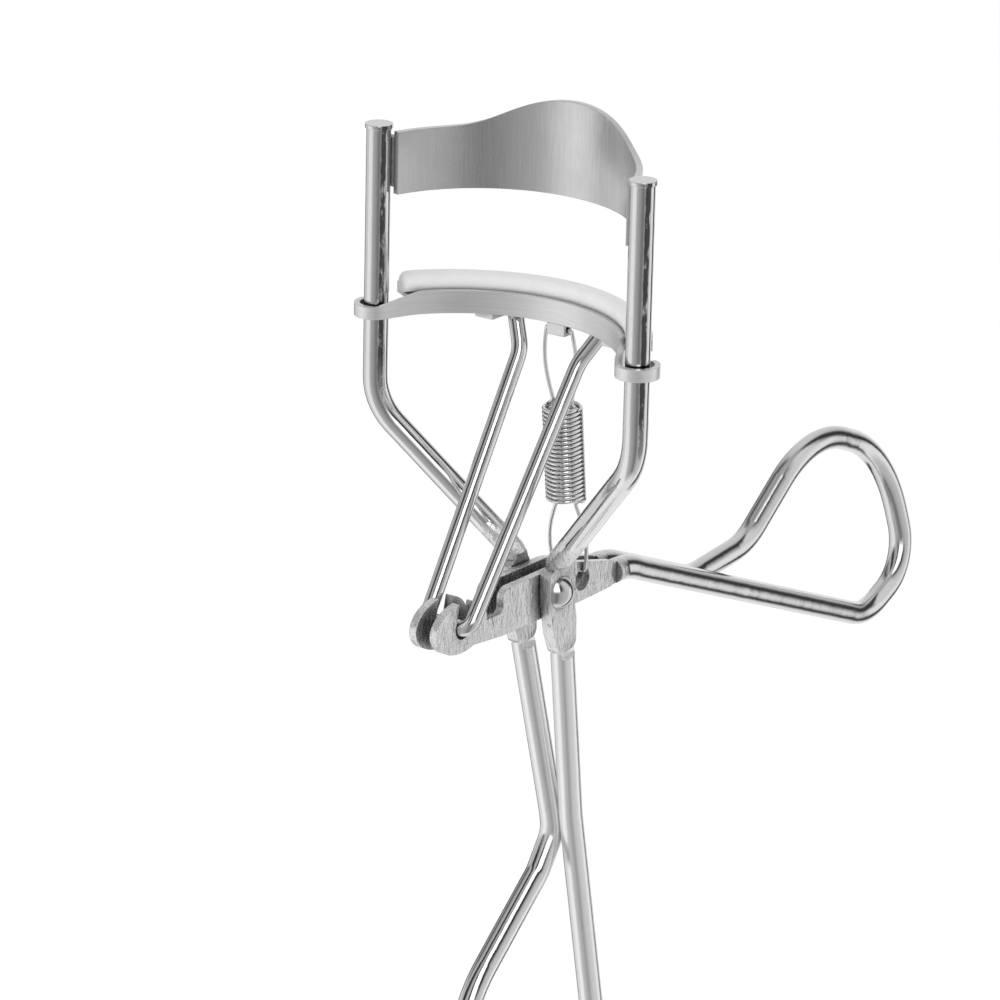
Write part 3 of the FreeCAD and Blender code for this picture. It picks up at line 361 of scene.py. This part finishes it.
def chrome(name, tone, worked_and_corner_shade_zone=None, satin_zone=None, dull_and_reflection_zone=None, rough=0.03):
    """Bright plated wire with waviness, fine rubs and pits; satin where worked, with painted shade in
    the corners there.
    """
    s = Shader(name)
    worked, satin, dull = (zone(s) if zone else 0.0 for zone in (worked_and_corner_shade_zone, satin_zone, dull_and_reflection_zone))
    soft = s.math("MAXIMUM", worked, satin)
    wave = s.noise(scale=0.35, detail=2.0)
    grain = s.noise(scale=7.0, detail=6.0, roughness=0.65)
    rubs = s.noise(scale=2.0, detail=8.0, roughness=0.75, stretch=(4.0, 4.0, 0.5))
    specks = s.remap(s.noise(scale=5.5, detail=2.0), low=0.70, high=0.76)
    dents = s.noise(scale=0.9, detail=3.0, roughness=0.55, stretch=(2.2, 2.2, 1.0))
    scores = s.noise(scale=0.9, detail=5.0, roughness=0.7, stretch=(3.5, 3.5, 0.9))
    dullness = s.times(dull, s.remap(rubs, low=0.3, high=0.7, to_low=0.35))
    scored = s.times(worked, s.remap(scores, low=0.58, high=0.66, to_high=0.9))
    # Painted shade: ambient occlusion darkens corners and gaps on the worked flats.
    corners = s.times(worked, s.occlusion_shade_mask(reach=2.6 * MM, closed=0.45, opened=0.97))

    tint = s.mix(s.remap(grain, low=0.3, high=0.75), grey(tone * GRAIN_DARK), grey(tone))
    tint = s.layer(tint, dullness, tone * DULL_DARK)
    tint = s.layer(tint, soft, SATIN_GREY)
    tint = s.layer(tint, s.times(specks, SPECK_DEPTH), tone * SPECK_DARK)
    tint = s.layer(tint, scored, SCORE_GREY)
    # Painted reflection: a dark band of the surroundings, painted as a ragged line down the posts.
    tint = s.layer(tint, s.times(dull, painted_reflection_line(s)), REFLECTION_LINE_GREY)
    tint = s.layer(tint, corners, CORNER_SHADE_GREY)

    plain_rough = s.remap(rubs, low=0.35, high=0.75, to_low=rough, to_high=rough + WIRE_ROUGH_SPREAD)
    soft_rough = s.times(soft, s.remap(dents, low=0.3, high=0.7, to_low=0.08, to_high=0.17))
    metallic = s.math("SUBTRACT", 1.0, s.times(soft, SATIN_SCATTER))
    normal = s.soft_edges(0.14 * MM)
    normal = s.bump(wave, distance=0.10 * MM, strength=0.30, normal=normal)
    normal = s.bump(rubs, distance=0.006 * MM, strength=0.4, normal=normal)
    normal = s.bump(s.times(worked, dents), distance=0.22 * MM, strength=0.8, normal=normal)
    normal = s.bump(s.times(worked, scores), distance=0.08 * MM, strength=0.8, normal=normal)
    return s.finish(Base_Color=tint, Metallic=metallic, Normal=normal,
                    Roughness=s.math("ADD", plain_rough, soft_rough))


def brushed(name, tone, roughness, streak_axes, glints, metallic):
    """Satin sheet metal: streaks along some axes, blotches of tone, a few glints, painted shade in
    corners.
    """
    s = Shader(name)
    stretch = tuple(STREAK_ALONG if along else STREAK_ACROSS for along in streak_axes)
    streaks = s.noise(scale=1.6, detail=8.0, roughness=0.7, stretch=stretch)
    fine = s.noise(scale=9.0, detail=4.0, roughness=0.6, stretch=stretch)
    blotch = s.noise(scale=0.22)
    specks = s.remap(s.noise(scale=6.0, detail=1.0), low=0.72, high=0.77)
    # Painted shade: ambient occlusion darkens corners and gaps.
    corners = s.occlusion_shade_mask(reach=1.2 * MM, closed=0.30, opened=0.85)

    tint = s.mix(s.remap(streaks, low=0.25, high=0.75), grey(tone * STREAK_DARK),
                 grey(tone * STREAK_BRIGHT))
    tint = s.layer(tint, s.remap(blotch, low=0.35, high=0.65, to_high=0.25), tone * BLOTCH_DARK)
    tint = s.layer(tint, s.times(specks, glints), min(1.0, tone * GLINT_BRIGHT))
    tint = s.layer(tint, corners, tone * SHEET_CORNER_SHADE)

    streak_rough = s.remap(streaks, low=0.2, high=0.8, to_low=roughness - STREAK_SMOOTHER,
                           to_high=roughness + STREAK_ROUGHER)
    blotch_rough = s.remap(blotch, low=0.3, high=0.7, to_high=0.05)
    normal = s.soft_edges(0.12 * MM)
    normal = s.bump(streaks, distance=0.02 * MM, strength=0.6, normal=normal)
    normal = s.bump(fine, distance=0.006 * MM, strength=0.6, normal=normal)
    return s.finish(Base_Color=tint, Metallic=metallic, Normal=normal,
                    Roughness=s.math("ADD", streak_rough, blotch_rough))


def weld_bead():
    """A dull bead, rippled along its length."""
    s = Shader("weld_bead")
    ripple = s.noise(scale=1.2, detail=3.0, roughness=0.6, stretch=(1.0, 1.0, 2.5))
    tint = s.mix(s.remap(ripple, low=0.3, high=0.7), grey(0.30), grey(0.52, warmth=0.02))
    rough = s.remap(ripple, low=0.3, high=0.7, to_low=0.35, to_high=0.55)
    normal = s.bump(ripple, distance=0.12 * MM, strength=0.9, normal=s.soft_edges(0.2 * MM))
    return s.finish(Base_Color=tint, Metallic=1.0, Roughness=rough, Normal=normal)


def spring_steel():
    """Bright drawn wire, with painted shade in the gaps between the turns of the coil."""
    s = Shader("spring_steel")
    drawn = s.noise(scale=2.5, detail=4.0, roughness=0.6)
    tint = s.mix(s.remap(drawn, low=0.3, high=0.7), grey(0.84), grey(0.96))
    # Painted shade between the turns, from ambient occlusion.
    tint = s.layer(tint, s.occlusion_shade_mask(reach=0.5 * MM, closed=0.25, opened=0.80), shade=0.10)
    rough = s.remap(drawn, low=0.3, high=0.7, to_low=0.06, to_high=0.16)
    normal = s.bump(drawn, distance=0.003 * MM, strength=0.4)
    return s.finish(Base_Color=tint, Metallic=1.0, Roughness=rough, Normal=normal)


def soft_pad():
    """White moulded silicone: light goes a little way in, and the skin is finely grained."""
    s = Shader("soft_pad")
    grain = s.noise(scale=11.0, detail=4.0, roughness=0.6)
    cloud = s.noise(scale=0.5, detail=2.0)
    dust = s.remap(s.noise(scale=4.5, detail=1.0), low=0.74, high=0.78, to_high=0.25)
    tint = s.mix(s.remap(cloud, low=0.3, high=0.7), grey(0.90), grey(0.94, warmth=0.004))
    tint = s.layer(tint, dust, shade=0.7)
    rough = s.remap(grain, low=0.3, high=0.7, to_low=0.42, to_high=0.56)
    normal = s.bump(grain, distance=0.012 * MM, strength=0.5)
    return s.finish(Base_Color=tint, Roughness=rough, Normal=normal, Subsurface_Weight=0.35,
                    Subsurface_Radius=(1.0, 0.95, 0.9), Subsurface_Scale=0.8 * MM,
                    Specular_IOR_Level=0.4)


def pale_floor():
    """Plain matt white paper with a trace of fibre."""
    s = Shader("pale_floor")
    fibre = s.noise(scale=0.15, detail=5.0)
    tint = s.mix(fibre, grey(0.955), grey(0.97))
    return s.finish(Base_Color=tint, Roughness=0.9, Specular_IOR_Level=0.1,
                    Emission_Color=grey(1.0), Emission_Strength=0.25)


def dress(material, *nodes):
    """Gives one material to every slot of some CAD nodes."""
    for node in nodes:
        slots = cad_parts[node].data.materials
        if not slots:
            slots.append(material)
        for index in range(len(slots)):
            slots[index] = material


# -------------------------------------------------------------------------------- made pieces


def add_to_scene(name, data):
    holder = bpy.data.objects.new(name, data)
    bpy.context.scene.collection.objects.link(holder)
    return holder


def add_piece(name, mesh, material):
    """A smooth piece that takes its finish from a material slot of the record."""
    mesh.materials.append(material)
    mesh.shade_smooth()
    piece = add_to_scene(name, mesh)
    return piece


def skin(name, rings):
    """A closed mesh through rings of points, all of one length, with a fan over each end."""
    shape = bmesh.new()
    loops = [[shape.verts.new(point) for point in ring] for ring in rings]
    count = len(loops[0])
    for first, second in zip(loops, loops[1:]):
        for index in range(count):
            following = (index + 1) % count
            shape.faces.new((first[index], first[following], second[following], second[index]))
    for loop, backwards in ((loops[0], True), (loops[-1], False)):
        middle = shape.verts.new(sum((vert.co for vert in loop), Vector()) / count)
        for index in range(count):
            pair = (loop[index], loop[(index + 1) % count])
            shape.faces.new((pair[1], pair[0], middle) if backwards else (*pair, middle))
    bmesh.ops.recalc_face_normals(shape, faces=shape.faces)
    mesh = bpy.data.meshes.new(name)
    shape.to_mesh(mesh)
    shape.free()
    return mesh


def tube(name, path, radius, sides):
    """A round wire along a path of points, with slightly rounded ends."""
    rings = []
    side = None
    last = len(path) - 1
    for index, point in enumerate(path):
        along = (path[min(index + 1, last)] - path[max(index - 1, 0)]).normalized()
        if side is None:
            side = along.orthogonal().normalized()
        side = (side - along * side.dot(along)).normalized()
        across = along.cross(side)
        size = radius * (WIRE_END if index in (0, last) else 1.0)
        rings.append([point + (side * math.cos(turn) + across * math.sin(turn)) * size
                      for turn in (FULL_TURN * step / sides for step in range(sides))])
    return skin(name, rings)


def pad_profile():
    """The section of the pad: (across, up) as shares of its half width and of its height."""
    inner_side = [(-0.97, 0.0), (-0.97, 0.16), (-1.10, 0.27), (-1.14, 0.46), (-1.10, 0.66)]
    inner_crown = [(-0.93, 0.84), (-0.62, 0.955), (-0.22, 1.0)]
    outer_crown = [(0.22, 1.0), (0.62, 0.955), (0.93, 0.85)]
    outer_side = [(1.08, 0.70), (1.12, 0.55), (1.08, 0.42), (0.97, 0.33), (0.97, 0.0)]
    underside = [(0.5, 0.0), (-0.5, 0.0)]
    return inner_side + inner_crown + outer_crown + outer_side + underside


def make_pad():
    """The pad as one crowned strip, its ends drawn in, in the space that the CAD pad holds."""
    low_corner, high_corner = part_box("lash_pad")
    half_turn = math.radians(PAD_HALF_SPAN)
    outer = high_corner.x / math.sin(half_turn)
    axis_y = high_corner.y - outer
    inner = (low_corner.y - axis_y) / math.cos(half_turn)
    middle_radius = (inner + outer) / 2
    profile = pad_profile()
    rings = []
    for station in range(PAD_STATIONS + 1):
        turn = half_turn * math.sin((2 * station / PAD_STATIONS - 1) * QUARTER_TURN)
        left = middle_radius * (half_turn - abs(turn))
        inward = max(0.0, 1 - left / PAD_END_ROUND)
        roundness = math.sqrt(1 - inward ** 2)
        half_width = (outer - inner) / 2 * (PAD_TIP_WIDTH + (1 - PAD_TIP_WIDTH) * roundness)
        height = high_corner.z - low_corner.z
        height *= PAD_TIP_HEIGHT + (1 - PAD_TIP_HEIGHT) * roundness
        wave = math.sin(PAD_SWELL_WAVES * turn + PAD_SWELL_PHASE)
        crown_height = height * (1 + PAD_SWELL * wave * (1 - inward))
        ring = []
        for across, up in profile:
            radius = middle_radius + across * half_width
            rise = up * (crown_height if up > PAD_CROWN else height)
            ring.append(Vector((radius * math.sin(turn), axis_y + radius * math.cos(turn),
                                low_corner.z + rise)))
        rings.append(ring)
    pad = add_piece("soft_pad_strip", skin("soft_pad_strip", rings), soft_pad())
    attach(pad, "clamp")
    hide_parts("lash_pad")
    rounding = pad.modifiers.new("rounding", "SUBSURF")
    rounding.levels = rounding.render_levels = 1


def wire_end(node, sign, radius):
    """The middle of a wire where it turns at the top (sign 1) or the foot (sign -1) of a node."""
    points = [vertex.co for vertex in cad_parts[node].data.vertices]
    extreme = max(sign * point.z for point in points)
    near = [point for point in points if sign * point.z > extreme - radius]
    middle = sum(near, Vector()) / len(near)
    return Vector((0.0, middle.y, sign * (extreme - radius)))


def coil_path(top, down, side, square):
    """Points of the coil from its top turn down."""
    path = []
    for step in range(COIL_TURNS * COIL_STEPS + 1):
        turn = FULL_TURN * step / COIL_STEPS
        outward = side * math.cos(turn) + square * math.sin(turn)
        path.append(top + down * (COIL_PITCH * step / COIL_STEPS) + outward * COIL_RADIUS)
    return path


def leg_half(share, half_width):
    """Half of the width of a hook, by the share of the way from the coil to the eye."""
    waist = HOOK_WAIST * COIL_RADIUS
    if share < HOOK_TURN:
        return COIL_RADIUS + (waist - COIL_RADIUS) * math.sin(share / HOOK_TURN * QUARTER_TURN)
    rise = (share - HOOK_TURN) / (1 - HOOK_TURN) * QUARTER_TURN
    return waist + (half_width - waist) * math.sin(rise) + HOOK_BELLY * math.sin(2 * rise)


def hook_path(eye, reach, side, along, half_width):
    """Points of a long hook: up one leg, over the eye, and down the other leg to the coil."""
    half = []
    for step in range(HOOK_LEG_STEPS):
        share = step / HOOK_LEG_STEPS
        half.append((leg_half(share, half_width), reach * (1 - share) + HOOK_BEND * share))
    for step in range(HOOK_BEND_STEPS + 1):
        turn = QUARTER_TURN * step / HOOK_BEND_STEPS
        half.append((half_width - HOOK_BEND * (1 - math.cos(turn)),
                     HOOK_BEND * (1 - math.sin(turn))))
    left = [eye - side * out + along * down for out, down in half]
    right = [eye + side * out + along * down for out, down in half[::-1]]
    return left + right


def make_spring():
    """The coil, which stretches between the frame and the clamp, and its two hooks."""
    top = wire_end("return_spring", 1, SPRING_WIRE)
    foot = wire_end("return_spring", -1, SPRING_WIRE)
    down = (foot - top).normalized()
    side = Vector((1.0, 0.0, 0.0))
    coil_top = top + down * COIL_START
    coil_foot = coil_top + down * (COIL_TURNS * COIL_PITCH)
    lower_reach = (foot - coil_foot).length + SPRING_WIRE
    steel = spring_steel()

    def add_wire(name, path, sides=WIRE_SIDES):
        return add_piece(name, tube(name, path, SPRING_WIRE, sides), steel)

    coil = add_wire("spring_coil", coil_path(coil_top, down, side, down.cross(side)), COIL_SIDES)
    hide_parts("return_spring")
    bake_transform(coil)
    upper = add_wire("spring_upper_hook",
                     hook_path(top, COIL_START + SPRING_WIRE, side, down, UPPER_HOOK_HALF))
    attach(upper, "clamp")
    lower = add_wire("spring_lower_hook", hook_path(foot, lower_reach, side, -down, LOWER_HOOK_HALF))
    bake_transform(lower)


# ----------------------------------------------------------------------- light, floor and camera


def studio():
    """White all round to the camera and to soft surfaces; panels and gaps to polished metal."""
    world = bpy.data.worlds.new("studio")
    bpy.context.scene.world = world
    world.use_nodes = True
    nodes = Nodes(world.node_tree)

    azimuth = math.radians(CAMERA_AZIMUTH)
    direction = nodes.node("ShaderNodeTexCoord").outputs["Generated"]
    to_camera, to_right, height = (
        nodes.vector_math("DOT_PRODUCT", direction, axis)["Value"]
        for axis in ((math.sin(azimuth), -math.cos(azimuth), 0),
                     (math.cos(azimuth), math.sin(azimuth), 0), (0, 0, 1)))
    bearing = nodes.math("ARCTAN2", to_right, to_camera)
    round_share = nodes.math("MULTIPLY_ADD", bearing, 1 / FULL_TURN, 0.5)
    rise = nodes.times(nodes.math("ARCSINE", height), math.degrees(1))

    low, high = (nodes.ramp(round_share, [(0.5 + angle / 360, shade) for angle, shade in ring])
                 for ring in (LOW_RING, HIGH_RING))
    glow = grey(FLOOR_GLOW)
    for ends, above in ((LOW_RISE, low), (HIGH_RISE, high), (ZENITH_RISE, grey(ZENITH_GLOW))):
        glow = nodes.mix(nodes.remap(rise, *ends, curve="SMOOTHSTEP"), glow, above)

    panels = nodes.node("ShaderNodeBackground", glow, PANEL_STRENGTH)
    white = nodes.node("ShaderNodeBackground", grey(1.0), WHITE_STRENGTH)
    reflected = nodes.node("ShaderNodeLightPath").outputs["Is Glossy Ray"]
    switch = nodes.node("ShaderNodeMixShader", reflected, white.outputs[0], panels.outputs[0])
    nodes.node("ShaderNodeOutputWorld", switch.outputs[0])


def soft_light(name, place, power):
    """A square soft box, turned to the rivet, that lights matt surfaces."""
    lamp = bpy.data.lights.new(name, "AREA")
    lamp.size = BOX_SIZE
    lamp.energy = power
    holder = add_to_scene(name, lamp)
    holder.location = place
    holder.rotation_euler = (-Vector(place)).to_track_quat("-Z", "Y").to_euler()
    holder.visible_glossy = False


def floor():
    """A wide pale floor just under the lowest point of the curler, unseen by polished metal."""
    low = cad_box[0][2] - FLOOR_GAP
    corners = ((-1, -1), (1, -1), (1, 1), (-1, 1))
    mesh = bpy.data.meshes.new("floor")
    mesh.from_pydata([(x * FLOOR_HALF, y * FLOOR_HALF, low) for x, y in corners], [], [(0, 1, 2, 3)])
    mesh.materials.append(pale_floor())
    sheet = add_to_scene("floor", mesh)
    sheet.visible_glossy = False


def camera():
    """The camera, turned and rolled about the rivet, and slid to frame the curler."""
    azimuth, elevation, roll = (math.radians(angle) for angle in
                                (CAMERA_AZIMUTH, CAMERA_ELEVATION, CAMERA_ROLL))
    forward = Vector((-math.sin(azimuth) * math.cos(elevation),
                      math.cos(azimuth) * math.cos(elevation), -math.sin(elevation)))
    level = Vector((math.cos(azimuth), math.sin(azimuth), 0))
    above = level.cross(forward)
    right = level * math.cos(roll) + above * math.sin(roll)
    up = above * math.cos(roll) - level * math.sin(roll)
    place = -(right * CAMERA_SLIDE[0] + up * CAMERA_SLIDE[1] + forward * CAMERA_DISTANCE)
    lens = bpy.data.cameras.new("camera")
    lens.lens = CAMERA_LENS
    lens.sensor_width = SENSOR_WIDTH
    holder = add_to_scene("camera", lens)
    turn = Matrix((right, up, -forward)).transposed().to_4x4()
    holder.matrix_world = Matrix.Translation(place) @ turn
    bpy.context.scene.camera = holder


# ------------------------------------------------------------------------------------ the scene

dress(chrome("frame_chrome", tone=0.88, worked_and_corner_shade_zone=near_rivet, satin_zone=straight_handle,
             dull_and_reflection_zone=posts), "frame_wire")
dress(chrome("lever_chrome", tone=0.80, worked_and_corner_shade_zone=cheeks_and_ears, rough=0.10), "lever_wire")
dress(chrome("rod_chrome", tone=0.84), "pushrod_wire")
dress(chrome("rivet_chrome", tone=0.74, rough=0.08), "pivot_rivet")
dress(brushed("plate_satin", tone=0.72, roughness=0.20, streak_axes=UPRIGHT_STREAKS, glints=0.5,
              metallic=0.94), "top_plate")
dress(brushed("bar_satin", tone=0.82, roughness=0.30, streak_axes=LEVEL_STREAKS, glints=0.3,
              metallic=0.72), "clamp_bar")
dress(weld_bead(), "left_plate_weld", "right_plate_weld")
make_pad()
make_spring()
studio()
soft_light("key", KEY_PLACE, KEY_POWER)
soft_light("fill", FILL_PLACE, FILL_POWER)
floor()
camera()
bpy.context.scene.view_settings.view_transform = "Standard"
